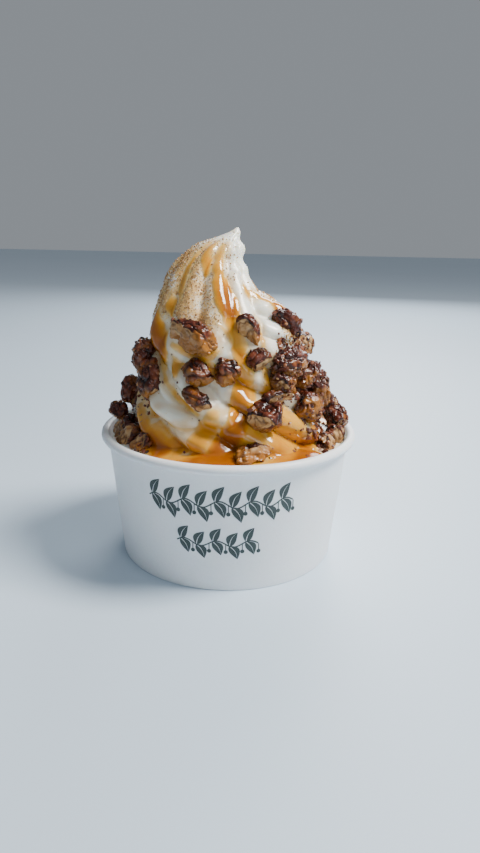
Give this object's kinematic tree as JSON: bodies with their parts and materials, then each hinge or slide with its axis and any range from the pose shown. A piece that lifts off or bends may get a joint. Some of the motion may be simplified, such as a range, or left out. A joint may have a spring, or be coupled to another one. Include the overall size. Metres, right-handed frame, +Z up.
{
  "type": "frozen yogurt cup",
  "caption": "Squat round paper cup filled with a tall leaning swirl of frozen yogurt, topped with glazed pecan pieces and poured caramel.",
  "frame": {"origin": "on the cup's axis, at the bottom of its foot ring, which is the bottom centre of the whole", "axes": "+Z up along the cup's axis, the tallest extent; -Y is the side that faces the viewer in the picture, +X to its right"},
  "size_m": [0.096, 0.096, 0.1202],
  "materials": {
    "paper": "smooth satin white coated paper",
    "frozen_yogurt": "soft off-white, slightly wet, with light scattering under its surface",
    "glazed_pecan": "dark brown glazed skin, tan where broken",
    "caramel": "clear glossy amber syrup",
    "print_ink": "flat dark grey-green ink on paper"
  },
  "bodies": {
    "root": {"cup": "paper", "frozen_yogurt": "frozen_yogurt", "pecan_01": "glazed_pecan", "pecan_02": "glazed_pecan", "pecan_03": "glazed_pecan", "pecan_04": "glazed_pecan", "pecan_05": "glazed_pecan", "pecan_06": "glazed_pecan", "pecan_07": "glazed_pecan", "pecan_08": "glazed_pecan", "pecan_09": "glazed_pecan", "pecan_10": "glazed_pecan", "pecan_11": "glazed_pecan", "pecan_12": "glazed_pecan", "pecan_13": "glazed_pecan", "pecan_14": "glazed_pecan", "pecan_15": "glazed_pecan", "pecan_16": "glazed_pecan", "pecan_17": "glazed_pecan", "pecan_18": "glazed_pecan", "pecan_19": "glazed_pecan", "pecan_20": "glazed_pecan", "pecan_21": "glazed_pecan", "pecan_22": "glazed_pecan", "pecan_23": "glazed_pecan", "pecan_24": "glazed_pecan", "pecan_25": "glazed_pecan", "pecan_26": "glazed_pecan", "pecan_27": "glazed_pecan", "pecan_28": "glazed_pecan", "pecan_29": "glazed_pecan", "pecan_30": "glazed_pecan", "pecan_31": "glazed_pecan", "pecan_32": "glazed_pecan", "pecan_33": "glazed_pecan", "pecan_34": "glazed_pecan", "pecan_35": "glazed_pecan", "pecan_36": "glazed_pecan", "pecan_37": "glazed_pecan"}
  },
  "joints": []
}
